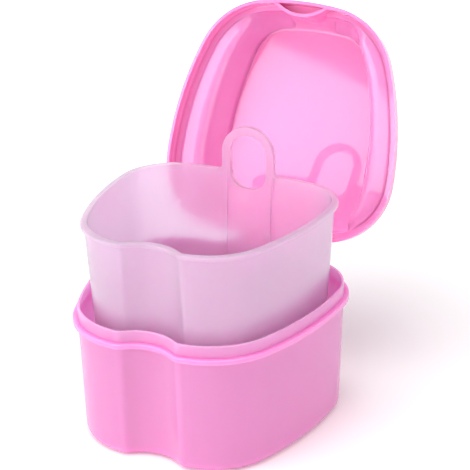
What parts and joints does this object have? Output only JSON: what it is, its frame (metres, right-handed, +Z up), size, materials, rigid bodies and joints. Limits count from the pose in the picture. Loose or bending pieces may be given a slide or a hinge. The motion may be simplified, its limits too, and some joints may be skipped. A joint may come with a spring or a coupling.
{
  "type": "denture bath",
  "caption": "Denture bath: a tub with a notched front, a lift-out strainer basket with an arched handle, and a hinged domed lid, stored open with the basket raised.",
  "frame": {"origin": "middle of the tub's flat base, on the table", "axes": "+Z up out of the tub, -Y towards the finger notch at the front, +Y towards the hinge, +X along the hinge"},
  "size_m": [0.0946, 0.1479, 0.1352],
  "materials": {
    "tub_plastic": "gloss",
    "basket_plastic": "milky translucent gloss",
    "lid_plastic": "gloss"
  },
  "bodies": {
    "tub": {"tub": "tub_plastic"},
    "lid": {"lid": "lid_plastic"},
    "basket": {"basket": "basket_plastic"}
  },
  "joints": [
    {"name": "lid_hinge", "type": "hinge", "parent": "tub", "child": "lid", "pos_m": [0, 0.051, 0.0456], "axis": [1, 0, 0], "range_deg": [0, 112]},
    {"name": "basket_lift", "type": "slide", "parent": "tub", "child": "basket", "axis": [0, 0, 1], "range_m": [-0.037, 0]}
  ],
  "couplings": [
    {"joint": "lid_hinge", "follows": "basket_lift", "rad_per_m": -52.82}
  ]
}
